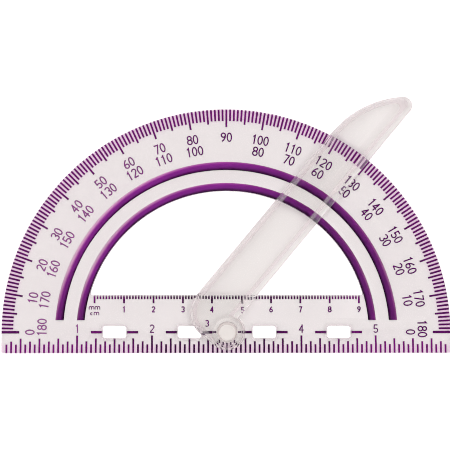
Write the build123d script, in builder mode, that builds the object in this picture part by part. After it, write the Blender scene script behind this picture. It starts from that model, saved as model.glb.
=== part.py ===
from build123d import *

import math
import os

# A six-inch swing-arm protractor lying flat on its printed side, in millimetres.
# The origin is the vertex of the degree scale at paper level, and the arm turns about Z there.
# +X runs along the base line, and +Y points at the 90 degree mark.

# Clear plate
inch = 25.4
plate_radius = 3 * inch
plate_top = 2.0
base_edge = -7.15
base_corner_radius = 0.8
window_radius = 48.15
window_sill = 12.5
window_corner_radius = 0.6
relief = 0.1  # the printed underside stands this far off the paper

# Sighting slots in the base line, half an inch and an inch and a half either side of the vertex
slot_centres = [-1.5 * inch, -0.5 * inch, 0.5 * inch, 1.5 * inch]
slot_length = 7.9
slot_width = 4.15
slot_corner_cut = 0.5
slot_lip = 0.35

# Printed layers
film = 0.05
pen_width = 0.42
arc_depth = 0.6
arc_foot = 4.1
outer_arc_radii = (55.45, 58.25)
inner_arc_radii = (48.4, 51.0)

# Degree scale: tick lengths run inwards from the rim
tick_width = 0.62
base_tick_width = 0.85
degree_tick = 3.85
five_degree_tick = 4.85
ten_degree_tick = 5.9
outer_row_radius = 66.75
inner_row_radius = 62.7
right_end_lean = 1.0  # degrees that the right-hand 180 stands above the base line
left_end_lean = 1.5
numeral_height = 3.25
numeral_pitch = 2.05

# Inch scale: tick tops are heights above the ruling edge
inch_tick_foot = 0.2
sixteenth_top = 3.0
eighth_top = 4.0
quarter_top = 5.0
inch_top = 6.0
inch_numeral_height = 2.9
inch_pen_width = 0.34
inch_numeral_middle = 1.2
shifted_three = (-6.6, 3.1)
shifted_three_height = 2.3

# Centimetre scale under the window's sill
centimetre_scale_start = -44.9
centimetres = 9
scale_gap = 0.28
millimetre_tick = 1.0
millimetre_tick_width = 0.55
centimetre_tick = 2.4
centimetre_numeral_height = 2.1
centimetre_numeral_middle = 7.75
small_pen_width = 0.38
unit_letter_height = 0.95
unit_letter_pen = 0.26
letter_arch = 0.42  # radius of each arch of the m over its height
letter_pitch = 2.1  # distance between letters over their height
unit_letter_middle = -44.9
millimetre_letters_line = 8.2
centimetre_letters_line = 6.25

# Base line dashes
dash_width = 0.85
dash_length = 3.8
dash_gap = 0.3
first_dash_start = 4.25

# Pivot
pin_radius = 2.0
shoulder_radius = 3.0
head_radius = 3.5
head_thickness = 1.0
running_clearance = 0.06
arm_float = 0.15
head_float = 0.1
collar_radius = 3.2
collar_thickness = 0.8
collar_clearance = 0.05
pivot_pad_radius = 4.0

# Swing arm, in its own frame: x runs from the pivot towards the tip along the reading edge,
# and the blade lies on the +y side of that edge
arm_angle = 50.2
arm_width = 15.9
arm_thickness = 1.6
arm_edge_thickness = 0.7
arm_lobe_radius = 6.2
crest_lobe_radius = 5.2
arm_boss_radius = 4.9
arm_boss_height = 0.4
bowl_rim_radius = 4.6
bowl_floor_radius = 3.65
bowl_depth = 1.0
arm_heel_radius = 9.2
arm_nose_start = 75.5
arm_nose_radius = 34.8
arm_tip_radius = 3.0
crest_tip_radius = 1.5
reading_bevel = 3.2
back_bevel = 2.1

arm_bottom = plate_top + arm_float
arm_top = arm_bottom + arm_thickness
boss_top = arm_top + arm_boss_height
bowl_floor = boss_top - bowl_depth
head_bottom = bowl_floor + head_float
relief_plane = Plane.XY.offset(relief)
film_plane = Plane.XY.offset(relief - film)


def save(part, name):
    """Label a finished piece and write it under its own name."""
    part.label = name
    export_step(part, f"parts/{name}.step")


# ---------------------------------------------------------------- numerals and letters


def stroke(pen, *points):
    """A straight-sided pen stroke through the points."""
    with BuildSketch() as mark:
        with BuildLine():
            Polyline(*points)
        trace(line_width=pen)
    return mark.sketch


def arc_stroke(pen, centre, radius, start, sweep):
    """A pen stroke along a circular arc, in degrees."""
    with BuildSketch() as mark:
        with BuildLine():
            CenterArc(centre, radius, start, sweep)
        trace(line_width=pen)
    return mark.sketch


def ring(pen, centre, radius):
    """A closed round pen stroke."""
    with BuildSketch() as mark:
        with Locations(centre):
            Circle(radius + pen / 2)
            Circle(radius - pen / 2, mode=Mode.SUBTRACT)
    return mark.sketch


def oval(pen, half_width, half_height):
    """A closed oval pen stroke, for the figure nought."""
    with BuildSketch() as mark:
        Ellipse(half_width + pen / 2, half_height + pen / 2)
        Ellipse(half_width - pen / 2, half_height - pen / 2, mode=Mode.SUBTRACT)
    return mark.sketch


def hooked_stem(pen, r):
    """The long curved stem of the six, from its bowl's left side up to the right."""
    with BuildSketch() as mark:
        with BuildLine():
            TangentArc((-r, -r), (0.7 * r, 2 * r), tangent=(0, 1))
        trace(line_width=pen)
    return mark.sketch


def figure_strokes(figure, r, pen):
    """The strokes of one figure: r is half the figure's width and a quarter of its height."""
    if figure == "0":
        return [oval(pen, r, 2 * r)]
    if figure == "1":
        return [stroke(pen, (-0.65 * r, 1.25 * r), (0.15 * r, 1.95 * r), (0.15 * r, -2 * r - pen / 2))]
    if figure == "2":
        bowl_end = -40
        leave = (r * math.cos(math.radians(bowl_end)), r + r * math.sin(math.radians(bowl_end)))
        return [
            arc_stroke(pen, (0, r), r, 165, bowl_end - 165),
            stroke(pen, leave, (-r, -2 * r)),
            stroke(pen, (-1.1 * r, -2 * r), (1.1 * r, -2 * r)),
        ]
    if figure == "3":
        return [arc_stroke(pen, (0, r), r, 155, -245), arc_stroke(pen, (0, -r), r, 90, -245)]
    if figure == "4":
        return [
            stroke(pen, (0.4 * r, 2 * r + pen / 2), (0.4 * r, -2 * r - pen / 2)),
            stroke(pen, (0.4 * r, 2 * r), (-1.05 * r, -0.75 * r), (1.15 * r, -0.75 * r)),
        ]
    if figure == "5":
        bowl = 1.1 * r
        start = math.radians(140)
        join = (bowl * math.cos(start), -0.9 * r + bowl * math.sin(start))
        return [
            arc_stroke(pen, (0, -0.9 * r), bowl, 140, -290),
            stroke(pen, join, (-0.7 * r, 2 * r), (0.95 * r, 2 * r)),
        ]
    if figure == "6":
        return [ring(pen, (0, -r), r), hooked_stem(pen, r)]
    if figure == "7":
        return [stroke(pen, (-r, 2 * r), (r, 2 * r), (-0.35 * r, -2 * r - pen / 2))]
    if figure == "8":
        return [ring(pen, (0, 1.07 * r), 0.93 * r), ring(pen, (0, -0.93 * r), 1.07 * r)]
    return [mark.rotate(Axis.Z, 180) for mark in figure_strokes("6", r, pen)]


def figure_face(figure, height, pen):
    """One figure of the given overall height, centred on its cell."""
    quarter = (height - pen) / 4
    with BuildSketch() as face:
        add(figure_strokes(figure, quarter, pen))
    return face.sketch


def figure_places(numerals, pitch):
    """Where each figure goes: numerals is a list of (text, place of its middle)."""
    places = {}
    for text, middle in numerals:
        for index, figure in enumerate(text):
            along = (index - (len(text) - 1) / 2) * pitch
            places.setdefault(figure, []).append(middle * Location((along, 0, 0)))
    return places


def print_numerals(numerals, height, pitch, pen):
    """A thin printed layer of numerals on the underside."""
    with BuildPart() as layer:
        with BuildSketch(film_plane):
            for figure, places in figure_places(numerals, pitch).items():
                with Locations(*places):
                    add(figure_face(figure, height, pen))
        extrude(amount=film)
    return layer.part


def print_ticks(bars):
    """A thin printed layer of straight bars: for each (length, width), the places of their middles."""
    with BuildPart() as layer:
        with BuildSketch(film_plane):
            for size, places in bars.items():
                with Locations(*places):
                    Rectangle(*size)
        extrude(amount=film)
    return layer.part


def on_circle(radius, angle, turn=-90):
    """A place on a circle about the vertex, turned so that its top points outwards."""
    across = radius * math.cos(math.radians(angle))
    up = radius * math.sin(math.radians(angle))
    return Location((across, up, 0), (0, 0, angle + turn))


def degree_bars(length, angles, width=tick_width):
    """Radial ticks that run inwards from the rim."""
    middle = plate_radius - length / 2
    return {(length, width): [on_circle(middle, angle, 0) for angle in angles]}


# ---------------------------------------------------------------- clear plate


def arc_band(radii):
    """The flat band between two radii, cut off level above the base line."""
    with BuildSketch() as band:
        Circle(radii[1])
        Circle(radii[0], mode=Mode.SUBTRACT)
        with Locations((0, arc_foot)):
            Rectangle(2 * plate_radius, plate_radius, align=(Align.CENTER, Align.MIN), mode=Mode.INTERSECT)
    return band.sketch


def arc_inlay(radii):
    """A half-round purple arc set up into the plate's underside."""
    middle = (radii[0] + radii[1]) / 2
    with BuildPart() as inlay:
        with BuildSketch(Plane.XZ):
            with BuildLine():
                ThreePointArc((radii[1], relief), (middle, relief + arc_depth), (radii[0], relief))
                Line((radii[0], relief), (radii[1], relief))
            make_face()
        revolve(axis=Axis.Z, revolution_arc=180)
        split(bisect_by=Plane.XZ.offset(-arc_foot), keep=Keep.BOTTOM)
    return inlay.part


outer_arc = arc_inlay(outer_arc_radii)
inner_arc = arc_inlay(inner_arc_radii)

with BuildPart() as body_plate:
    with BuildSketch(relief_plane):
        with BuildLine():
            CenterArc((0, 0), plate_radius, 0, 180)
            left_foot = (-plate_radius, base_edge)
            right_foot = (plate_radius, base_edge)
            Polyline((-plate_radius, 0), left_foot, right_foot, (plate_radius, 0))
        plate_outline = make_face()
        fillet(plate_outline.vertices().group_by(Axis.Y)[0], radius=base_corner_radius)
    extrude(amount=plate_top - relief)

    with BuildSketch(relief_plane):
        Circle(window_radius)
        with Locations((0, window_sill)):
            Rectangle(2 * plate_radius, plate_radius, align=(Align.CENTER, Align.MIN), mode=Mode.INTERSECT)
        fillet(vertices(), radius=window_corner_radius)
    extrude(amount=plate_top, mode=Mode.SUBTRACT)

    with BuildSketch(relief_plane):
        with Locations(*[(centre, 0) for centre in slot_centres]):
            Rectangle(slot_length, slot_width)
        chamfer(vertices(), length=slot_corner_cut)
    extrude(amount=plate_top, mode=Mode.SUBTRACT)
    slot_rims = edges().filter_by_position(Axis.Z, plate_top, plate_top)
    slot_rims = slot_rims.filter_by_position(Axis.Y, -slot_width / 2, slot_width / 2)
    slot_rims = slot_rims.filter_by(lambda edge: edge.length <= slot_length)
    chamfer(slot_rims, length=slot_lip)

    with BuildSketch():
        add(arc_band((inner_arc_radii[1], outer_arc_radii[0])))
        Circle(pivot_pad_radius)
    extrude(amount=relief)
    Hole(pin_radius)
    with BuildSketch():
        Circle(collar_radius + collar_clearance)
    extrude(amount=collar_thickness, mode=Mode.SUBTRACT)
    add([outer_arc, inner_arc], mode=Mode.SUBTRACT)

# ---------------------------------------------------------------- swing arm


def arm_outline(reading_inset, back_inset, lobe_radius, tip_radius):
    """The blade's outline, drawn in from the reading edge and from the other edges."""
    nose_centre = (arm_nose_start, arm_width - arm_nose_radius)
    nose_radius = arm_nose_radius - back_inset
    tip_y = reading_inset + tip_radius
    reach = math.sqrt((nose_radius - tip_radius) ** 2 - (tip_y - nose_centre[1]) ** 2)
    tip_centre = (nose_centre[0] + reach, tip_y)
    nose_angle = math.degrees(math.atan2(tip_y - nose_centre[1], reach))
    heel_centre = (arm_heel_radius - arm_lobe_radius, arm_width - arm_heel_radius)
    heel_radius = arm_heel_radius - back_inset
    butt = back_inset - arm_lobe_radius
    lobe_leave = math.degrees(math.asin(reading_inset / lobe_radius))
    butt_meet = 180 - math.degrees(math.acos(min(1, -butt / lobe_radius)))
    with BuildSketch() as outline:
        with BuildLine():
            lobe = CenterArc((0, 0), lobe_radius, butt_meet, 360 - butt_meet + lobe_leave)
            tip = CenterArc(tip_centre, tip_radius, -90, 90 + nose_angle)
            Line(lobe @ 1, tip @ 0)
            nose = CenterArc(nose_centre, nose_radius, nose_angle, 90 - nose_angle)
            heel = CenterArc(heel_centre, heel_radius, 90, 90)
            Line(nose @ 1, heel @ 0)
            Line(heel @ 1, lobe @ 0)
        make_face()
    return outline.sketch


def arm_plane(height):
    """The arm's own frame at a height, turned to where the arm rests."""
    turn = math.radians(arm_angle)
    return Plane(origin=(0, 0, height), x_dir=(math.cos(turn), math.sin(turn), 0), z_dir=(0, 0, 1))


with BuildPart() as swing_arm:
    blade = arm_outline(0, 0, arm_lobe_radius, arm_tip_radius)
    crest = arm_outline(reading_bevel, back_bevel, crest_lobe_radius, crest_tip_radius)
    with BuildSketch(arm_plane(arm_bottom)):
        add(blade)
    extrude(amount=arm_edge_thickness)
    with BuildSketch(arm_plane(arm_bottom + arm_edge_thickness)):
        add(blade)
    with BuildSketch(arm_plane(arm_top)):
        add(crest)
    loft(ruled=True)
    with BuildSketch(arm_plane(arm_bottom)):
        Circle(arm_boss_radius)
    extrude(amount=boss_top - arm_bottom)
    with BuildSketch(arm_plane(arm_bottom)):
        Circle(shoulder_radius + running_clearance)
    extrude(amount=boss_top - arm_bottom, mode=Mode.SUBTRACT)
    with BuildSketch(arm_plane(bowl_floor)):
        Circle(bowl_floor_radius)
    with BuildSketch(arm_plane(boss_top)):
        Circle(bowl_rim_radius)
    loft(mode=Mode.SUBTRACT)

# ---------------------------------------------------------------- pivot

with BuildPart() as pivot_pin:
    with BuildSketch(Plane.XZ):
        with BuildLine():
            Polyline(
                (0, 0),
                (pin_radius, 0),
                (pin_radius, plate_top),
                (shoulder_radius, plate_top),
                (shoulder_radius, head_bottom),
                (head_radius, head_bottom),
                (head_radius, head_bottom + head_thickness),
                (0, head_bottom + head_thickness),
                close=True,
            )
        make_face()
    revolve(axis=Axis.Z)
    crown = pivot_pin.edges().group_by(Axis.Z)[-1]
    fillet(crown, radius=head_thickness / 2)

with BuildPart() as pivot_collar:
    with BuildSketch():
        Circle(collar_radius)
        Circle(pin_radius, mode=Mode.SUBTRACT)
    extrude(amount=collar_thickness)

# ---------------------------------------------------------------- degree scale

every_degree = range(1, 180)
single_degrees = [angle for angle in every_degree if angle % 5]
five_degrees = [angle for angle in every_degree if angle % 10 == 5]
ten_degrees = [angle for angle in every_degree if angle % 10 == 0]

degree_ticks = print_ticks(degree_bars(degree_tick, single_degrees))
five_degree_ticks = print_ticks(degree_bars(five_degree_tick, five_degrees))
ten_degree_ticks = print_ticks(degree_bars(ten_degree_tick, ten_degrees))
base_degree_ticks = print_ticks(degree_bars(ten_degree_tick, [0, 180], base_tick_width))

outer_row = [(str(value), on_circle(outer_row_radius, 180 - value)) for value in range(10, 180, 10)]
outer_row.append(("0", on_circle(outer_row_radius, 180)))
outer_row.append(("180", on_circle(outer_row_radius, right_end_lean)))
inner_row = [(str(180 - value), on_circle(inner_row_radius, 180 - value)) for value in range(10, 180, 10)]
inner_row = [numeral for numeral in inner_row if numeral[0] != "90"]
inner_row.append(("180", on_circle(inner_row_radius, 180 - left_end_lean)))
inner_row.append(("0", on_circle(inner_row_radius, 0)))
outer_degree_numerals = print_numerals(outer_row, numeral_height, numeral_pitch, pen_width)
inner_degree_numerals = print_numerals(inner_row, numeral_height, numeral_pitch, pen_width)

# ---------------------------------------------------------------- inch scale


def inch_bars(top, marks):
    """Ticks that stand on the ruling edge, at sixteenths of an inch counted from the left end."""
    length = top - inch_tick_foot
    middle = base_edge + inch_tick_foot + length / 2
    return {(tick_width, length): [Location((mark * sixteenth - plate_radius, middle, 0)) for mark in marks]}


marks_per_inch = 16
sixteenth = inch / marks_per_inch
every_mark = range(1, round(2 * plate_radius / sixteenth))
under_pivot = 3 * marks_per_inch
short_marks = [mark for mark in every_mark if mark % 2 or mark == under_pivot]
eighth_marks = [mark for mark in every_mark if mark % 4 == 2]
quarter_marks = [mark for mark in every_mark if mark % 4 == 0 and mark % marks_per_inch]
whole_marks = [mark for mark in every_mark if mark % marks_per_inch == 0 and mark != under_pivot]
inch_sixteenth_ticks = print_ticks(inch_bars(sixteenth_top, short_marks))
inch_eighth_ticks = print_ticks(inch_bars(eighth_top, eighth_marks))
inch_quarter_ticks = print_ticks(inch_bars(quarter_top, quarter_marks))
inch_whole_ticks = print_ticks(inch_bars(inch_top, whole_marks))

inch_row = [(str(n), Location(((n - 3) * inch, inch_numeral_middle, 0))) for n in (1, 2, 4, 5)]
inch_numerals = print_numerals(inch_row, inch_numeral_height, numeral_pitch, inch_pen_width)
middle_row = [("3", Location((*shifted_three, 0)))]
middle_inch_numeral = print_numerals(middle_row, shifted_three_height, numeral_pitch, inch_pen_width)

# ---------------------------------------------------------------- centimetre scale


def sill_bars(length, width, millimetres):
    """Ticks that hang under the window's sill, at the given millimetres from the scale's start."""
    middle = window_sill - scale_gap - length / 2
    return {(width, length): [Location((centimetre_scale_start + mark, middle, 0)) for mark in millimetres]}


millimetre_marks = [mark for mark in range(10 * centimetres) if mark % 10]
centimetre_marks = range(0, 10 * centimetres + 1, 10)
millimetre_ticks = print_ticks(sill_bars(millimetre_tick, millimetre_tick_width, millimetre_marks))
centimetre_ticks = print_ticks(sill_bars(centimetre_tick, tick_width, centimetre_marks))
centimetre_row = [
    (str(n), Location((centimetre_scale_start + 10 * n, centimetre_numeral_middle, 0)))
    for n in range(1, centimetres + 1)
]
centimetre_numerals = print_numerals(centimetre_row, centimetre_numeral_height, numeral_pitch, small_pen_width)


def letter_m(height, pen):
    """A lower-case m: three stems joined by two round arches."""
    half = (height - pen) / 2
    arch = letter_arch * height
    with BuildSketch() as letter:
        for x in (-2 * arch, 0, 2 * arch):
            add(stroke(pen, (x, -half - pen / 2), (x, half - arch / 2)))
        for x in (-arch, arch):
            add(arc_stroke(pen, (x, half - arch / 2), arch, 0, 180))
    return letter.sketch


def letter_c(height, pen):
    """A lower-case c: an open ring."""
    return arc_stroke(pen, (0, 0), (height - pen) / 2, 45, 270)


with BuildPart() as unit_letters:
    m_face = letter_m(unit_letter_height, unit_letter_pen)
    c_face = letter_c(unit_letter_height, unit_letter_pen)
    m_pitch = letter_pitch * unit_letter_height
    with BuildSketch(film_plane):
        with Locations((unit_letter_middle - m_pitch / 2, millimetre_letters_line)):
            add(m_face)
        with Locations((unit_letter_middle + m_pitch / 2, millimetre_letters_line)):
            add(m_face)
        with Locations((unit_letter_middle - m_pitch / 2, centimetre_letters_line)):
            add(c_face)
        with Locations((unit_letter_middle + m_pitch / 3, centimetre_letters_line)):
            add(m_face)
    extrude(amount=film)

# ---------------------------------------------------------------- base line

slot_half = slot_length / 2 + dash_gap
first_dash = slot_centres[2] - slot_half - first_dash_start
dash_spans = {
    (first_dash, dash_width): [first_dash_start + first_dash / 2],
    (dash_length, dash_width): [
        slot_centres[2] + slot_half + dash_length / 2,
        slot_centres[3] - slot_half - dash_length / 2,
        slot_centres[3] + slot_half + dash_length / 2,
    ],
}
dash_bars = {
    size: [Location((side * middle, 0, 0)) for middle in middles for side in (-1, 1)]
    for size, middles in dash_spans.items()
}
baseline_dashes = print_ticks(dash_bars)

# ---------------------------------------------------------------- files

os.makedirs("parts", exist_ok=True)
pieces = {
    "body_plate": body_plate.part,
    "swing_arm": swing_arm.part,
    "pivot_pin": pivot_pin.part,
    "pivot_collar": pivot_collar.part,
    "outer_arc": outer_arc,
    "inner_arc": inner_arc,
    "degree_ticks": degree_ticks,
    "five_degree_ticks": five_degree_ticks,
    "ten_degree_ticks": ten_degree_ticks,
    "base_degree_ticks": base_degree_ticks,
    "outer_degree_numerals": outer_degree_numerals,
    "inner_degree_numerals": inner_degree_numerals,
    "inch_sixteenth_ticks": inch_sixteenth_ticks,
    "inch_eighth_ticks": inch_eighth_ticks,
    "inch_quarter_ticks": inch_quarter_ticks,
    "inch_whole_ticks": inch_whole_ticks,
    "inch_numerals": inch_numerals,
    "middle_inch_numeral": middle_inch_numeral,
    "millimetre_ticks": millimetre_ticks,
    "centimetre_ticks": centimetre_ticks,
    "centimetre_numerals": centimetre_numerals,
    "unit_letters": unit_letters.part,
    "baseline_dashes": baseline_dashes,
}
for name, piece in pieces.items():
    save(piece, name)
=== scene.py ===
import math
from functools import partial

import bpy
from mathutils import Matrix, Vector
from mathutils.geometry import tessellate_polygon


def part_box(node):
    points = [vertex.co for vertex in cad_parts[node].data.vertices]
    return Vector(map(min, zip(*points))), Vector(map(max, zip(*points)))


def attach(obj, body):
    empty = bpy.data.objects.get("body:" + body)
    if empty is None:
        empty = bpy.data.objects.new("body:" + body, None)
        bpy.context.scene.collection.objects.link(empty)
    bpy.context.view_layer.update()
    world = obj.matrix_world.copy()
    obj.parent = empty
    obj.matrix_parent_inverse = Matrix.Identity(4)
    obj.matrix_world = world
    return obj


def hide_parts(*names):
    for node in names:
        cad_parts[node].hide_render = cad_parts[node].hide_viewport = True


# The looks of a clear swing-arm protractor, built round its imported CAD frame. Lengths are in metres,
# the vertex is at the origin, and the marks are on the plate's underside.

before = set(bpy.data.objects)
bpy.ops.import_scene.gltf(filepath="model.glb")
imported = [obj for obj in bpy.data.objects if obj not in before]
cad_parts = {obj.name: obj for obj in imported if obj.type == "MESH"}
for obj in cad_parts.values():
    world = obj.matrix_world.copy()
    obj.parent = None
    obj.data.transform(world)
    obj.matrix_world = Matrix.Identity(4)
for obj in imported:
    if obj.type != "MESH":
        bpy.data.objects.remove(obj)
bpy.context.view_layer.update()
MM = 0.001
INCH = 25.4 * MM

# ---------------------------------------------------------------- sizes that the frame gives

plate_low, plate_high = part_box("body_plate")
arm_low, arm_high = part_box("swing_arm")
pin_low, pin_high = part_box("pivot_pin")
collar_low, collar_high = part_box("pivot_collar")
film_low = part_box("degree_ticks")[0]

FILM_PROUD = 0.01 * MM  # the printed film stands this much proud of the plastic
PLATE_RADIUS = plate_high[0]
PLATE_TOP = plate_high[2]
PLATE_BOTTOM = film_low[2] + FILM_PROUD
BASE_EDGE = plate_low[1]

# ---------------------------------------------------------------- sizes of details

# The plate
BASE_CORNER = 0.8 * MM
WINDOW_RADIUS = 48.15 * MM
WINDOW_SILL = 12.5 * MM
WINDOW_CORNER = 0.6 * MM
SLOT_CENTRES = [inches * INCH for inches in (-1.5, -0.5, 0.5, 1.5)]
SLOT_HALF_LENGTH = 3.95 * MM
SLOT_HALF_WIDTH = 2.075 * MM
SLOT_CORNER_CUT = 0.5 * MM
SLOT_LIP = 0.35 * MM
SLOT_LIP_DEPTH = 0.15 * MM
SOFT_EDGE = 0.12 * MM

# The two arcs, with the raised band between them
ARC_INNER = 48.4 * MM
BAND_INNER = 51.0 * MM
BAND_OUTER = 55.45 * MM
ARC_OUTER = 58.25 * MM
BAND_FOOT = 4.1 * MM
BAND_SLOPE = 0.25 * MM

# The pivot
PIN_BORE = 2.0 * MM
COUNTERBORE = 3.25 * MM
PRESS_GAP = 0.03 * MM
SHOULDER_RADIUS = 3.0 * MM
HEAD_THICKNESS = 1.0 * MM
HEAD_CROWN = 0.2 * MM
HEAD_CROWN_STEP = 0.3 * HEAD_CROWN  # how far in and down the middle of the head's rounded edge lies
DISH_RIM_CENTRE = (0, -0.05 * MM)
DISH_RIM_RADIUS = 3.05 * MM
DISH_FOOT_CENTRE = (0, -0.3 * MM)
DISH_FOOT_RADIUS = 2.7 * MM
DISH_DEPTH = 0.3 * MM

# The arm
ARM_ANGLE = math.radians(50.2)
ARM_WIDTH = 15.9 * MM
ARM_EDGE = 0.7 * MM
ARM_CHAMFER = 0.3 * MM
ARM_BORE = 3.06 * MM
LOBE_RADIUS = 6.2 * MM
HEEL_RADIUS = 9.2 * MM
NOSE_START = 75.5 * MM
NOSE_RADIUS = 34.8 * MM
TIP_RADIUS = 3.0 * MM
READING_BEVEL = 3.2 * MM
BACK_BEVEL = 2.1 * MM
CREST_LOBE = 5.35 * MM
CREST_TIP = 1.5 * MM
CREASE_WIDTH = 1.4 * MM
CREASE_HEIGHT = 0.42 * MM
CREASE_LOBE = 5.65 * MM
CREASE_TIP = 1.8 * MM
BOSS_RADIUS = 4.9 * MM
BOSS_HEIGHT = 0.4 * MM
BOSS_CHAMFER = 0.15 * MM
BOWL_RIM = 4.6 * MM
BOWL_FLOOR = 3.65 * MM
BOWL_DEPTH = 1.0 * MM

# How finely round outlines are divided, and where shading breaks
FINE_STEPS = 180
ROUND_STEPS = 96
CORNER_STEPS = 8
SHARP_ANGLE = math.radians(28)

# ---------------------------------------------------------------- camera

CAMERA_TARGET = Vector((-0.51 * MM, 36.61 * MM, 0))
CAMERA_DISTANCE = 0.7
CAMERA_ROLL = math.radians(-0.12)
CAMERA_LEFT_LEAN = math.radians(-2.1)
CAMERA_BASE_LEAN = math.radians(5.15)
CAMERA_TURN = (
    Matrix.Rotation(CAMERA_ROLL, 4, "Z")
    @ Matrix.Rotation(CAMERA_LEFT_LEAN, 4, "Y")
    @ Matrix.Rotation(CAMERA_BASE_LEAN, 4, "X")
)
CAMERA_LENS = 163.9
SENSOR_WIDTH = 36
CLIP_START = 0.01


def add_camera():
    """A long lens almost straight above, leaning a little towards the ruling edge and the left end."""
    data = bpy.data.cameras.new("camera")
    data.lens = CAMERA_LENS
    data.sensor_width = SENSOR_WIDTH
    data.clip_start = CLIP_START
    camera = bpy.data.objects.new("camera", data)
    bpy.context.scene.collection.objects.link(camera)
    place = CAMERA_TARGET + CAMERA_TURN.to_3x3() @ Vector((0, 0, CAMERA_DISTANCE))
    camera.matrix_world = Matrix.Translation(place) @ CAMERA_TURN
    bpy.context.scene.camera = camera


add_camera()

# ---------------------------------------------------------------- outlines


def arc(centre, radius, start, sweep, steps):
    """Points along a circular arc, both ends included; angles in degrees."""
    angles = [math.radians(start + sweep * step / steps) for step in range(steps + 1)]
    return [(centre[0] + radius * math.cos(a), centre[1] + radius * math.sin(a)) for a in angles]


def circle(radius, centre=(0, 0)):
    """A closed circle, about the vertex unless another centre is given."""
    return arc(centre, radius, 0, 360, ROUND_STEPS)[:-1]


def plate_loop(inset):
    """The plate's outline, drawn in from its edges."""
    corner = (PLATE_RADIUS - BASE_CORNER, BASE_EDGE + BASE_CORNER)
    small = BASE_CORNER - inset
    rim = arc((0, 0), PLATE_RADIUS - inset, 0, 180, 2 * FINE_STEPS)
    left = arc((-corner[0], corner[1]), small, 180, 90, CORNER_STEPS)
    right = arc(corner, small, 270, 90, CORNER_STEPS)
    return rim + left + right


def window_loop(grow):
    """The window's outline, grown outwards into the plate."""
    radius = WINDOW_RADIUS + grow
    small = WINDOW_CORNER + grow
    height = WINDOW_SILL + WINDOW_CORNER
    reach = math.sqrt((radius - small) ** 2 - height**2)
    lean = math.degrees(math.atan2(height, reach))
    top = arc((0, 0), radius, lean, 180 - 2 * lean, FINE_STEPS)
    left = arc((-reach, height), small, 180 - lean, 90 + lean, CORNER_STEPS)
    right = arc((reach, height), small, 270, 90 + lean, CORNER_STEPS)
    return top + left[1:] + right[:-1]


def slot_loop(centre, grow):
    """A sighting slot's outline with cut corners, grown outwards."""
    x = SLOT_HALF_LENGTH + grow
    y = SLOT_HALF_WIDTH + grow
    cut = SLOT_CORNER_CUT + grow * (2 - math.sqrt(2))
    quarter = [(x, y - cut), (x - cut, y)]
    mirrored = [(-px, py) for px, py in reversed(quarter)]
    upper = quarter + mirrored
    return [(centre + px, py) for px, py in upper + [(-px, -py) for px, py in upper]]


def band_loop(grow):
    """The outline of the raised band between the arcs, on the underside, grown outwards."""
    foot = BAND_FOOT - grow
    outer = BAND_OUTER + grow
    inner = BAND_INNER - grow
    outer_lean = math.degrees(math.asin(foot / outer))
    inner_lean = math.degrees(math.asin(foot / inner))
    out = arc((0, 0), outer, outer_lean, 180 - 2 * outer_lean, FINE_STEPS)
    back = arc((0, 0), inner, 180 - inner_lean, 2 * inner_lean - 180, FINE_STEPS)
    return out + back


def arm_loop(reading_inset, back_inset, lobe_radius, tip_radius):
    """The arm's outline in the arm's own frame, drawn in from the reading edge and the other edges."""
    nose_centre = (NOSE_START, ARM_WIDTH - NOSE_RADIUS)
    nose_radius = NOSE_RADIUS - back_inset
    tip_y = reading_inset + tip_radius
    reach = math.sqrt((nose_radius - tip_radius) ** 2 - (tip_y - nose_centre[1]) ** 2)
    nose_angle = math.degrees(math.atan2(tip_y - nose_centre[1], reach))
    heel_centre = (HEEL_RADIUS - LOBE_RADIUS, ARM_WIDTH - HEEL_RADIUS)
    butt = back_inset - LOBE_RADIUS
    leave = math.degrees(math.asin(reading_inset / lobe_radius))
    meet = 180 - math.degrees(math.acos(min(1, -butt / lobe_radius)))
    lobe = arc((0, 0), lobe_radius, meet, 360 - meet + leave, ROUND_STEPS)
    tip = arc((nose_centre[0] + reach, tip_y), tip_radius, -90, 90 + nose_angle, 2 * CORNER_STEPS)
    nose = arc(nose_centre, nose_radius, nose_angle, 90 - nose_angle, ROUND_STEPS)
    heel = arc(heel_centre, HEEL_RADIUS - back_inset, 90, 90, ROUND_STEPS // 2)
    return lobe + tip + nose[1:] + heel


def blade_loop(inset):
    """The arm's outline drawn in evenly from all its edges."""
    return arm_loop(inset, inset, LOBE_RADIUS - inset, TIP_RADIUS - inset)


# ---------------------------------------------------------------- meshes from stacked loops

# Surfaces: clear plastic, edges made milky as painted shade, and a milky face
CLEAR, SHADED_EDGE, MILKY = range(3)


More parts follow.
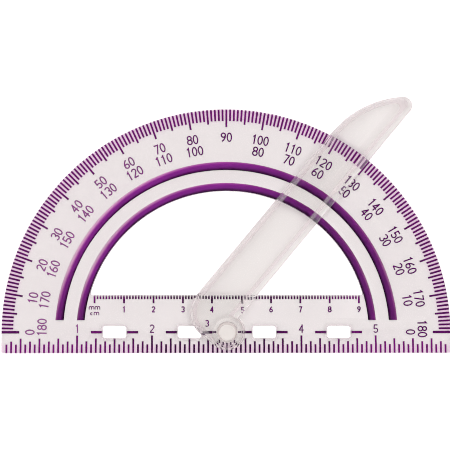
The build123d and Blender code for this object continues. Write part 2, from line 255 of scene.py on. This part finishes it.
class Shell:
    """Gathers a closed mesh from walls between stacked loops and flat caps across them.

    Each wall and cap is of one surface, which is the place of its material in the piece's list.
    """

    def __init__(self):
        self.points = []
        self.walls = []
        self.caps = []

    def loop(self, outline, height):
        """Adds one loop of points at a height and returns their indices."""
        first = len(self.points)
        self.points += [(x, y, height) for x, y in outline]
        return list(range(first, len(self.points)))

    def loops(self, outline_of, *levels):
        """Adds a loop for each (amount, height) and returns them.

        The amount is what the outline's function takes: an inset, a growth or a radius.
        """
        return [self.loop(outline_of(amount), height) for amount, height in levels]

    def wall(self, *loops, surface=CLEAR):
        """Joins each loop to the next one with a ring of four-sided faces."""
        for low, high in zip(loops, loops[1:]):
            following = low[1:] + low[:1], high[1:] + high[:1]
            self.walls += [(four, surface) for four in zip(low, following[0], following[1], high)]

    def cap(self, *loops, up=True, surface=CLEAR):
        """Fills the flat area inside the first loop and outside the others."""
        flat = [index for loop in loops for index in loop]
        areas = [[Vector((*self.points[index][:2], 0)) for index in loop] for loop in loops]
        for corners in tessellate_polygon(areas):
            a, b, c = (Vector(self.points[flat[corner]]) for corner in corners)
            faces_up = (b - a).cross(c - a).z > 0
            order = corners if faces_up == up else tuple(reversed(corners))
            self.caps.append((tuple(flat[corner] for corner in order), surface))

    def build(self, name, turn=Matrix.Identity(4)):
        """Makes the object: caps shaded flat, walls shaded smooth except at sharp edges."""
        faces = self.walls + self.caps
        mesh = bpy.data.meshes.new(name)
        mesh.from_pydata(self.points, [], [corners for corners, surface in faces])
        mesh.transform(turn)
        smooth = [True] * len(self.walls) + [False] * len(self.caps)
        mesh.polygons.foreach_set("use_smooth", smooth)
        mesh.set_sharp_from_angle(angle=SHARP_ANGLE)
        mesh.validate()
        mesh.polygons.foreach_set("material_index", [surface for corners, surface in faces])
        mesh.update()
        piece = bpy.data.objects.new(name, mesh)
        bpy.context.scene.collection.objects.link(piece)
        return piece


# ---------------------------------------------------------------- clear pieces


def make_plate():
    """The half-round plate with its window, slots, pivot hole and raised band."""
    shell = Shell()
    low = PLATE_BOTTOM
    high = PLATE_TOP
    soft = SOFT_EDGE
    rim = shell.loops(plate_loop, (soft, low), (0, low + soft), (0, high - soft), (soft, high))
    shell.wall(*rim)
    window = shell.loops(window_loop, (soft, high), (0, high - soft), (0, low + soft), (soft, low))
    shell.wall(*window)
    tops = [rim[-1], window[0]]
    bottoms = [rim[0], window[-1]]
    for centre in SLOT_CENTRES:
        slot = shell.loops(
            partial(slot_loop, centre),
            (SLOT_LIP, high),
            (0, high - SLOT_LIP_DEPTH),
            (0, low + soft),
            (soft, low),
        )
        # The slot's lip is milky: a painted shade outline round the slot.
        shell.wall(*slot[:2], surface=SHADED_EDGE)
        shell.wall(*slot[1:])
        tops.append(slot[0])
        bottoms.append(slot[-1])
    counterbore_top = collar_high[2]
    bore = shell.loops(
        circle,
        (PIN_BORE + soft, high),
        (PIN_BORE, high - soft),
        (PIN_BORE, counterbore_top),
        (COUNTERBORE, counterbore_top),
        (COUNTERBORE, low),
    )
    shell.wall(*bore)
    tops.append(bore[0])
    bottoms.append(bore[-1])
    band = shell.loops(band_loop, (0, low), (-BAND_SLOPE, plate_low[2]))
    shell.wall(*reversed(band))
    bottoms.append(band[0])
    shell.cap(*tops)
    shell.cap(*bottoms, up=False)
    shell.cap(band[1], up=False)
    return shell.build("clear_plate_body")


def make_arm():
    """The arm: straight edges below, long bevels above, and a boss whose bowl holds the pin's head."""
    shell = Shell()
    low = arm_low[2]
    soft = SOFT_EDGE
    edge = low + ARM_EDGE
    blade = shell.loops(
        blade_loop,
        (soft, low),
        (0, low + soft),
        (0, edge - ARM_CHAMFER),
        (ARM_CHAMFER, edge),
    )
    shell.wall(*blade[:3])
    # The chamfer is milky: a painted shade line along the arm's edge.
    shell.wall(*blade[2:], surface=SHADED_EDGE)
    boss_top = arm_high[2]
    arm_top = boss_top - BOSS_HEIGHT
    crease_outline = arm_loop(
        READING_BEVEL - CREASE_WIDTH, BACK_BEVEL - CREASE_WIDTH, CREASE_LOBE, CREASE_TIP
    )
    crease = shell.loop(crease_outline, arm_top - CREASE_HEIGHT)
    crest = shell.loop(arm_loop(READING_BEVEL, BACK_BEVEL, CREST_LOBE, CREST_TIP), arm_top)
    shell.wall(blade[-1], crease)
    # The crease is milky: a painted shade band along the bevel.
    shell.wall(crease, crest, surface=SHADED_EDGE)
    boss = shell.loops(
        circle,
        (BOSS_RADIUS, arm_top),
        (BOSS_RADIUS, boss_top - BOSS_CHAMFER),
        (BOSS_RADIUS - BOSS_CHAMFER, boss_top),
        (BOWL_RIM, boss_top),
        (BOWL_FLOOR, boss_top - BOWL_DEPTH),
        (ARM_BORE, boss_top - BOWL_DEPTH),
        (ARM_BORE, low),
    )
    shell.wall(*boss)
    shell.cap(crest, boss[0])
    shell.cap(blade[0], boss[-1], up=False)
    return shell.build("clear_swing_arm", Matrix.Rotation(ARM_ANGLE, 4, "Z"))


def make_pin():
    """The shouldered pivot pin; its round head is dished a little off centre."""
    shell = Shell()
    head_top = pin_high[2]
    head_bottom = head_top - HEAD_THICKNESS
    head_radius = pin_high[0]
    shank = PIN_BORE - PRESS_GAP
    seat = PLATE_TOP + PRESS_GAP
    side = shell.loops(
        circle,
        (shank, pin_low[2]),
        (shank, seat),
        (SHOULDER_RADIUS, seat),
        (SHOULDER_RADIUS, head_bottom),
        (head_radius, head_bottom),
        (head_radius, head_top - HEAD_CROWN),
        (head_radius - HEAD_CROWN_STEP, head_top - HEAD_CROWN_STEP),
        (head_radius - HEAD_CROWN, head_top),
    )
    shell.wall(*side)
    dish_rim = shell.loop(circle(DISH_RIM_RADIUS, DISH_RIM_CENTRE), head_top)
    dish_foot = shell.loop(circle(DISH_FOOT_RADIUS, DISH_FOOT_CENTRE), head_top - DISH_DEPTH)
    # The off-centre dish's wall is milky brown: a painted shade crescent, widest at the top.
    shell.wall(side[-1], dish_rim, dish_foot, surface=SHADED_EDGE)
    shell.cap(dish_foot, surface=MILKY)
    shell.cap(side[0], up=False)
    return shell.build("clear_pivot_pin")


def make_collar():
    """The collar pressed on the pin's foot."""
    shell = Shell()
    low = collar_low[2]
    top = collar_high[2] - PRESS_GAP
    radius = collar_high[0]
    outer = shell.loops(circle, (radius - SOFT_EDGE, low), (radius, low + SOFT_EDGE), (radius, top))
    inner = shell.loops(circle, (PIN_BORE, top), (PIN_BORE, low))
    shell.wall(*outer)
    shell.wall(*inner)
    shell.cap(outer[-1], inner[0])
    shell.cap(outer[0], inner[-1], up=False)
    return shell.build("clear_pivot_collar")


# ---------------------------------------------------------------- shader nodes


def new_material(name):
    """An empty node material and its Principled shader."""
    material = bpy.data.materials.new(name)
    material.use_nodes = True
    tree = material.node_tree
    return material, tree, tree.nodes["Principled BSDF"]


def noise(tree, scale, detail):
    """A noise value in the object's own space."""
    place = tree.nodes.new("ShaderNodeTexCoord")
    pattern = tree.nodes.new("ShaderNodeTexNoise")
    pattern.inputs["Scale"].default_value = scale
    pattern.inputs["Detail"].default_value = detail
    tree.links.new(place.outputs["Object"], pattern.inputs["Vector"])
    return pattern.outputs["Fac"]


def remap(tree, value, start, end, low=0, high=1, clamp=True):
    """Maps a value's range from start to end onto the range from low to high."""
    node = tree.nodes.new("ShaderNodeMapRange")
    node.clamp = clamp
    levels = {"From Min": start, "From Max": end, "To Min": low, "To Max": high}
    for socket, level in levels.items():
        node.inputs[socket].default_value = level
    tree.links.new(value, node.inputs["Value"])
    return node.outputs["Result"]


NOISE_LOW, NOISE_HIGH = 0.3, 0.7  # most of a noise value lies between these


def spread(tree, value, low, high):
    """Maps a noise value onto a range."""
    return remap(tree, value, NOISE_LOW, NOISE_HIGH, low, high)


def vector_maths(tree, operation, first, second=(0, 0, 0)):
    """A vector maths node on a socket and a constant; returns the node."""
    node = tree.nodes.new("ShaderNodeVectorMath")
    node.operation = operation
    tree.links.new(first, node.inputs[0])
    node.inputs[1].default_value = second
    return node


def maths(tree, operation, first, second=0):
    """A maths node on a socket and either another socket or a constant; returns its result."""
    node = tree.nodes.new("ShaderNodeMath")
    node.operation = operation
    tree.links.new(first, node.inputs[0])
    if isinstance(second, (int, float)):
        node.inputs[1].default_value = second
    else:
        tree.links.new(second, node.inputs[1])
    return node.outputs[0]


def flat_position(tree):
    """The object-space position with its height left out."""
    place = tree.nodes.new("ShaderNodeTexCoord")
    return vector_maths(tree, "MULTIPLY", place.outputs["Object"], (1, 1, 0)).outputs["Vector"]


def reach_from_vertex(tree):
    """The distance from the vertex, across the plate."""
    return vector_maths(tree, "LENGTH", flat_position(tree)).outputs["Value"]


def reach_along(tree, direction):
    """The distance from the vertex along a direction, times the direction's length."""
    return vector_maths(tree, "DOT_PRODUCT", flat_position(tree), direction).outputs["Value"]


def facing_share(tree, angle):
    """How squarely a point lies towards an angle in degrees, seen from the vertex: 0 to 1."""
    towards = (math.cos(math.radians(angle)), math.sin(math.radians(angle)), 0)
    outwards = vector_maths(tree, "NORMALIZE", flat_position(tree)).outputs["Vector"]
    along = vector_maths(tree, "DOT_PRODUCT", outwards, towards).outputs["Value"]
    return maths(tree, "POWER", maths(tree, "ABSOLUTE", along), 2)


def mix_colours(tree, factor, first, second):
    """A mix of two constant colours by a factor."""
    mix = tree.nodes.new("ShaderNodeMix")
    mix.data_type = "RGBA"
    mix.inputs["A"].default_value = (*first, 1)
    mix.inputs["B"].default_value = (*second, 1)
    tree.links.new(factor, mix.inputs["Factor"])
    return mix.outputs["Result"]


def colour_ramp(tree, value, stops):
    """A colour ramp over (position, colour) stops."""
    ramp = tree.nodes.new("ShaderNodeValToRGB")
    elements = ramp.color_ramp.elements
    elements.remove(elements[1])
    elements[0].position = stops[0][0]
    elements[0].color = (*stops[0][1], 1)
    for position, colour in stops[1:]:
        elements.new(position).color = (*colour, 1)
    tree.links.new(value, ramp.inputs["Fac"])
    return ramp.outputs["Color"]


def add_bump(tree, shader, height, strength, distance):
    """Ripples the surface by a height value."""
    bump = tree.nodes.new("ShaderNodeBump")
    bump.inputs["Strength"].default_value = strength
    bump.inputs["Distance"].default_value = distance
    tree.links.new(height, bump.inputs["Height"])
    tree.links.new(bump.outputs["Normal"], shader.inputs["Normal"])


# ---------------------------------------------------------------- plastic

PLASTIC_IOR = 1.42
PLATE_ROUGHNESS = (0.01, 0.03)
PIVOT_ROUGHNESS = (0.01, 0.04)
POLISH_SCALE, POLISH_DETAIL = 260, 3
FLOW_SCALE, FLOW_DETAIL = 90, 2
FLOW_STRENGTH, FLOW_HEIGHT = 0.1, 0.02 * MM
FROST_SCALE, FROST_DETAIL = 6000, 2
FROST_ROUGHNESS = (0.08, 0.12)
FROST_MOTTLE = 0.98  # the darkest grain's share of the milky and painted-shade colour

# Light spreads between the close ticks; it is painted onto the plate there as a pink glow tint
GLOW_TINT = (1.0, 0.88, 0.99)
RIM_GLOW = 4.6 * MM
RULER_GLOW = 3.6 * MM
RULER_GLOW_SHARE = 0.7
GLOW_FADE = 1.6 * MM


def ink_glow_share(tree):
    """How far the plate is tinted: 1 near the rim, less near the ruling edge, 0 elsewhere."""
    rim_start = PLATE_RADIUS - RIM_GLOW
    by_rim = remap(tree, reach_from_vertex(tree), rim_start, rim_start + GLOW_FADE)
    drop = reach_along(tree, (0, -1, 0))
    edge_start = -BASE_EDGE - RULER_GLOW
    by_edge = remap(tree, drop, edge_start, edge_start + GLOW_FADE)
    above_base_line = maths(tree, "LESS_THAN", drop, 0)
    by_rim = maths(tree, "MULTIPLY", by_rim, above_base_line)
    return maths(tree, "MAXIMUM", by_rim, maths(tree, "MULTIPLY", by_edge, RULER_GLOW_SHARE))


def clear_plastic(name, tint, roughness, ink_glow=False):
    """Polished clear moulded plastic with slight flow ripples."""
    material, tree, shader = new_material(name)
    shader.inputs["Base Color"].default_value = (*tint, 1)
    shader.inputs["Transmission Weight"].default_value = 1
    shader.inputs["IOR"].default_value = PLASTIC_IOR
    polish = noise(tree, POLISH_SCALE, POLISH_DETAIL)
    tree.links.new(spread(tree, polish, *roughness), shader.inputs["Roughness"])
    add_bump(tree, shader, noise(tree, FLOW_SCALE, FLOW_DETAIL), FLOW_STRENGTH, FLOW_HEIGHT)
    if ink_glow:
        glowing = mix_colours(tree, ink_glow_share(tree), tint, GLOW_TINT)
        tree.links.new(glowing, shader.inputs["Base Color"])
    return material


def milky_shade_plastic(name, milk_and_shade, clarity):
    """The same plastic made milky and less clear, with a fine grain; on creases and moulded corners its
    colour is painted shade.
    """
    material, tree, shader = new_material(name)
    shader.inputs["Transmission Weight"].default_value = clarity
    shader.inputs["IOR"].default_value = PLASTIC_IOR
    grain = noise(tree, FROST_SCALE, FROST_DETAIL)
    tint = mix_colours(tree, grain, milk_and_shade, [FROST_MOTTLE * level for level in milk_and_shade])
    tree.links.new(tint, shader.inputs["Base Color"])
    tree.links.new(spread(tree, grain, *FROST_ROUGHNESS), shader.inputs["Roughness"])
    return material


plate_plastic = clear_plastic("plate_plastic", (1.0, 0.998, 0.998), PLATE_ROUGHNESS, ink_glow=True)
arm_plastic = clear_plastic("arm_plastic", (0.995, 1.0, 0.989), PLATE_ROUGHNESS)
pivot_plastic = clear_plastic("pivot_plastic", (0.995, 0.99, 0.985), PIVOT_ROUGHNESS)
# The milky edge colours below are painted shade along creases, lips, chamfers and the pin's dish wall.
plate_edge_shade = milky_shade_plastic("plate_edge_shade", (0.8, 0.74, 0.76), clarity=0.7)
arm_edge_shade = milky_shade_plastic("arm_edge_shade", (0.86, 0.78, 0.8), clarity=0.78)
pivot_edge_shade = milky_shade_plastic("pivot_edge_shade", (0.8, 0.72, 0.7), clarity=0.5)
pivot_milk = milky_shade_plastic("pivot_milk", (0.97, 0.93, 0.9), clarity=0.4)

# ---------------------------------------------------------------- ink

FOIL_SPECULAR = 0.1
FOIL_SCALE, FOIL_DETAIL = 2500, 3
FOIL_STRENGTH, FOIL_HEIGHT = 0.2, 0.01 * MM

INK_ROUGHNESS = (0.3, 0.45)
PATCH_SCALE, PATCH_DETAIL = 70, 3
PATCH_SHARE = 0.5  # what the patches add to the ink's thinness, which grows by 1 on the way to the rim
DENSE_INK, THIN_INK = 0.45, 1.0  # the thinness up to which ink is dense, and from which it is thinnest

# An arc's paint carries painted shade and a painted highlight. It is dark over its shaded part, counted
# in widths of the arc from its inner side, and pink towards its outer side.
# That part is widest towards one angle and at the arc's feet, and its edge wanders.
PAINT_ROUGHNESS = (0.25, 0.4)
PAINTED_SHADE_PART = 0.56
PAINTED_SHADE_TURNED = 0.34
PAINTED_SHADE_FOOT = 0.22
PAINTED_SHADE_ANGLE = 68
FOOT_REACH = 16 * MM
WANDER_SCALE, WANDER_DETAIL = 60, 2
WANDER = 0.16
PAINTED_SHADE_STOP = 0.5  # the place in the stops below where the painted shade's dark part ends
# Painted shade and highlight across an arc, from near black at its inner side to pink at its outer side
PAINTED_SHADE_STOPS = (
    (0.0, (0.015, 0.001, 0.02)),
    (0.12, (0.11, 0.007, 0.12)),
    (0.22, (0.23, 0.02, 0.27)),
    (0.45, (0.31, 0.026, 0.33)),
    (0.55, (0.50, 0.12, 0.46)),
    (0.68, (0.78, 0.38, 0.66)),
    (0.85, (0.88, 0.66, 0.78)),
)

# The paint's painted light: a base level, a painted highlight towards one angle, brighter streaks, and
# painted shade at the feet
PAINTED_LIGHT_BASE = 0.42
PAINTED_LIGHT_TURNED = 0.4
PAINTED_HIGHLIGHT_ANGLE = 115
STREAK_SCALE, STREAK_DETAIL = 35, 2
LIGHT_STREAKS = 0.6
PAINTED_FOOT_SHADE = 0.25


def foil_finish(tree, shader, roughness):
    """The ink's satin gloss and fine grain."""
    shader.inputs["Specular IOR Level"].default_value = FOIL_SPECULAR
    grain = noise(tree, FOIL_SCALE, FOIL_DETAIL)
    tree.links.new(spread(tree, grain, *roughness), shader.inputs["Roughness"])
    add_bump(tree, shader, grain, FOIL_STRENGTH, FOIL_HEIGHT)


def printed_ink(name, dense, thin, towards, mirrored=False):
    """Purple stamped ink, dense at the vertex and thinner towards one angle in degrees, in patches.

    Mirrored ink thins out both ways.
    """
    material, tree, shader = new_material(name)
    angle = math.radians(towards)
    rim_share = (math.cos(angle) / PLATE_RADIUS, math.sin(angle) / PLATE_RADIUS, 0)
    along = reach_along(tree, rim_share)
    if mirrored:
        along = maths(tree, "ABSOLUTE", along)
    patch = maths(tree, "MULTIPLY", noise(tree, PATCH_SCALE, PATCH_DETAIL), PATCH_SHARE)
    thinness = maths(tree, "ADD", along, patch)
    colour = colour_ramp(tree, thinness, ((DENSE_INK, dense), (THIN_INK, thin)))
    tree.links.new(colour, shader.inputs["Base Color"])
    foil_finish(tree, shader, INK_ROUGHNESS)
    return material


def foot_share(tree):
    """How near a point of an arc is to the arc's feet: 1 there and 0 some way above them."""
    place = tree.nodes.new("ShaderNodeTexCoord")
    split = tree.nodes.new("ShaderNodeSeparateXYZ")
    tree.links.new(place.outputs["Object"], split.inputs["Vector"])
    return remap(tree, split.outputs["Y"], BAND_FOOT, BAND_FOOT + FOOT_REACH, 1, 0)


def painted_shade_place(tree, inner, outer, at_foot):
    """How far across an arc a point lies, as a place in the painted shade's stops."""
    across = remap(tree, reach_from_vertex(tree), inner, outer, clamp=False)
    wander = maths(tree, "MULTIPLY", noise(tree, WANDER_SCALE, WANDER_DETAIL), WANDER)
    place = maths(tree, "ADD", across, maths(tree, "SUBTRACT", wander, WANDER / 2))
    turned = maths(tree, "MULTIPLY", facing_share(tree, PAINTED_SHADE_ANGLE), PAINTED_SHADE_TURNED)
    shaded_part = maths(tree, "ADD", turned, PAINTED_SHADE_PART)
    shaded_part = maths(tree, "ADD", shaded_part, maths(tree, "MULTIPLY", at_foot, PAINTED_SHADE_FOOT))
    return maths(tree, "MULTIPLY", maths(tree, "DIVIDE", place, shaded_part), PAINTED_SHADE_STOP)


def painted_light_level(tree, at_foot):
    """The paint's painted light and shade, as its brightness."""
    turned = maths(tree, "MULTIPLY", facing_share(tree, PAINTED_HIGHLIGHT_ANGLE), PAINTED_LIGHT_TURNED)
    streaks = maths(tree, "MULTIPLY", noise(tree, STREAK_SCALE, STREAK_DETAIL), LIGHT_STREAKS)
    light = maths(tree, "ADD", maths(tree, "ADD", turned, streaks), PAINTED_LIGHT_BASE)
    return maths(tree, "SUBTRACT", light, maths(tree, "MULTIPLY", at_foot, PAINTED_FOOT_SHADE))


def shaded_arc_paint(name, inner, outer):
    """Purple paint in a moulded arc with painted shade: dark at its inner side, with a painted pink
    highlight at its outer side.
    """
    material, tree, shader = new_material(name)
    at_foot = foot_share(tree)
    shade = tree.nodes.new("ShaderNodeHueSaturation")
    colour = colour_ramp(tree, painted_shade_place(tree, inner, outer, at_foot), PAINTED_SHADE_STOPS)
    tree.links.new(colour, shade.inputs["Color"])
    tree.links.new(painted_light_level(tree, at_foot), shade.inputs["Value"])
    tree.links.new(shade.outputs["Color"], shader.inputs["Base Color"])
    foil_finish(tree, shader, PAINT_ROUGHNESS)
    return material


# Both arcs' paints hold painted shade and a painted pink highlight.
outer_shaded_paint = shaded_arc_paint("outer_arc_shaded_paint", BAND_OUTER, ARC_OUTER)
inner_shaded_paint = shaded_arc_paint("inner_arc_shaded_paint", ARC_INNER, BAND_INNER)
degree_ink = printed_ink("degree_ink", (0.125, 0.008, 0.13), (0.2, 0.014, 0.2), towards=90)
numeral_ink = printed_ink("numeral_ink", (0.14, 0.004, 0.15), (0.36, 0.11, 0.34), towards=165)
ruler_ink = printed_ink("ruler_ink", (0.055, 0.003, 0.06), (0.22, 0.012, 0.21), towards=0, mirrored=True)

# ---------------------------------------------------------------- pieces on the frame

CLEAR_PIECES = (
    (make_plate(), "plate", "body_plate", (plate_plastic, plate_edge_shade), "clear_plate"),
    (make_arm(), "arm", "swing_arm", (arm_plastic, arm_edge_shade), "clear_arm"),
    (make_pin(), "plate", "pivot_pin", (pivot_plastic, pivot_edge_shade, pivot_milk), "clear_pivot"),
    (make_collar(), "plate", "pivot_collar", (pivot_plastic,), "clear_pivot"),
)


def set_materials(piece, *materials):
    """Gives a new piece its materials, in the order of its surfaces."""
    for material in materials:
        piece.data.materials.append(material)


def ink_of(name):
    """The ink or paint of a printed node."""
    paints = {"outer_arc": outer_shaded_paint, "inner_arc": inner_shaded_paint}
    if name in paints:
        return paints[name]
    if "numeral" in name:
        return numeral_ink
    return degree_ink if "degree" in name else ruler_ink


for piece, body, node, materials, slot in CLEAR_PIECES:
    set_materials(piece, *materials)
    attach(piece, body)
    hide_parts(node)

replaced = [node for piece, body, node, materials, slot in CLEAR_PIECES]
for name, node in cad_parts.items():
    if name not in replaced:
        for holder in node.material_slots:
            holder.material = ink_of(name)

# ---------------------------------------------------------------- floor and light

FLOOR_COLOUR = (0.86, 0.81, 0.81)
FLOOR_ROUGHNESS = 0.9
FLOOR_SPECULAR = 0.1
FLOOR_HALF = 1.6
FLOOR_DROP = 0.02 * MM
SKY_STOPS = ((0.0, 0.45), (0.5, 0.55), (0.65, 1.0), (0.92, 1.0), (0.96, 0.0))  # height, brightness
SKY_STRENGTH = 1.43
KEY_STRENGTH = 2.0


def add_floor():
    """A plain pale floor just under the part; returns it."""
    corners = [(-1, -1), (1, -1), (1, 1), (-1, 1)]
    points = [(x * FLOOR_HALF, y * FLOOR_HALF, -FLOOR_DROP) for x, y in corners]
    mesh = bpy.data.meshes.new("floor")
    mesh.from_pydata(points, [], [(0, 1, 2, 3)])
    floor = bpy.data.objects.new("floor", mesh)
    bpy.context.scene.collection.objects.link(floor)
    material, _, shader = new_material("floor_paper")
    shader.inputs["Base Color"].default_value = (*FLOOR_COLOUR, 1)
    shader.inputs["Roughness"].default_value = FLOOR_ROUGHNESS
    shader.inputs["Specular IOR Level"].default_value = FLOOR_SPECULAR
    set_materials(floor, material)
    return floor


def add_sky():
    """A soft white studio sky, brightest high up and dark straight overhead.

    Its brightness follows the height above the horizon, from 0 there to 1 overhead.
    """
    world = bpy.data.worlds.new("studio")
    bpy.context.scene.world = world
    world.use_nodes = True
    tree = world.node_tree
    place = tree.nodes.new("ShaderNodeTexCoord")
    split = tree.nodes.new("ShaderNodeSeparateXYZ")
    tree.links.new(place.outputs["Generated"], split.inputs["Vector"])
    greys = [(height, (level, level, level)) for height, level in SKY_STOPS]
    background = tree.nodes["Background"]
    tree.links.new(colour_ramp(tree, split.outputs["Z"], greys), background.inputs["Color"])
    background.inputs["Strength"].default_value = SKY_STRENGTH


def add_key(floor):
    """A key along the camera's own axis that lights only the bare floor.

    So the floor goes white, and everything seen through the plastic keeps the sky's softer tone.
    """
    data = bpy.data.lights.new("key", "SUN")
    data.energy = KEY_STRENGTH
    data.angle = 0
    key = bpy.data.objects.new("key", data)
    key.matrix_world = CAMERA_TURN
    key.visible_glossy = False
    key.visible_transmission = False
    sunlit = bpy.data.collections.new("sunlit")
    sunlit.objects.link(floor)
    key.light_linking.receiver_collection = sunlit
    bpy.context.scene.collection.objects.link(key)


add_sky()
add_key(add_floor())

# ---------------------------------------------------------------- how light is followed

CLEAR_BOUNCES = 32
GLOSSY_BOUNCES = 16
FILTER_WIDTH = 1.0

scene = bpy.context.scene
scene.view_settings.view_transform = "Standard"
scene.cycles.max_bounces = CLEAR_BOUNCES
scene.cycles.transmission_bounces = CLEAR_BOUNCES
scene.cycles.glossy_bounces = GLOSSY_BOUNCES
scene.cycles.blur_glossy = 0
scene.cycles.filter_width = FILTER_WIDTH
